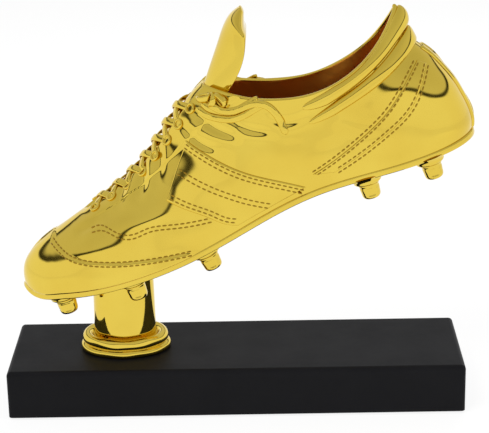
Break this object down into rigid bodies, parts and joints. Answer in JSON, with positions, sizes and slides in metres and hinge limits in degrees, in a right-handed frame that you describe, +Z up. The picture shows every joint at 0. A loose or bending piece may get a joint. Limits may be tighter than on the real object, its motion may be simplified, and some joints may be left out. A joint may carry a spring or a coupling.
{
  "type": "figure trophy",
  "caption": "Gold plated football boot, toe down and heel up, on an oval column and stepped foot bolted to a long black block.",
  "frame": {"origin": "centre of the felt's underside, where the trophy rests", "axes": "+X from the boot's toe to its heel along the block, -Y towards the boot's outer side, +Z up"},
  "size_m": [0.2909, 0.0805, 0.2515],
  "materials": {
    "gold_plate": "polished",
    "black_lacquer": "satin lacquer",
    "felt": "felt",
    "zinc_steel": "zinc plated",
    "insert_brass": "turned"
  },
  "bodies": {
    "root": {"base_block": "black_lacquer", "base_felt": "felt", "clamp_bolt": "zinc_steel", "clamp_washer": "zinc_steel", "locating_dowels": "zinc_steel", "pedestal_foot": "gold_plate", "pedestal_column": "gold_plate", "outsole": "gold_plate", "insole_board": "gold_plate", "sole_insert": "insert_brass", "upper": "gold_plate", "tongue": "gold_plate", "collar_roll": "gold_plate", "collar_band": "gold_plate", "heel_strip": "gold_plate", "saddle_outer": "gold_plate", "saddle_inner": "gold_plate", "strap_outer": "gold_plate", "strap_inner": "gold_plate", "lace_knot": "gold_plate", "bow_loop_outer": "gold_plate", "bow_loop_inner": "gold_plate", "eyelets_outer": "gold_plate", "eyelets_inner": "gold_plate", "lace_row_1": "gold_plate", "lace_row_2": "gold_plate", "lace_row_3": "gold_plate", "lace_row_4": "gold_plate", "lace_row_5": "gold_plate", "lace_row_6": "gold_plate", "lace_row_7": "gold_plate", "stud_toe_outer": "gold_plate", "stud_toe_inner": "gold_plate", "stud_tread_outer": "gold_plate", "stud_tread_inner": "gold_plate", "stud_ball_outer": "gold_plate", "stud_ball_inner": "gold_plate", "stud_heel_front_outer": "gold_plate", "stud_heel_front_inner": "gold_plate", "stud_heel_rear_outer": "gold_plate", "stud_heel_rear_inner": "gold_plate"}
  },
  "joints": []
}
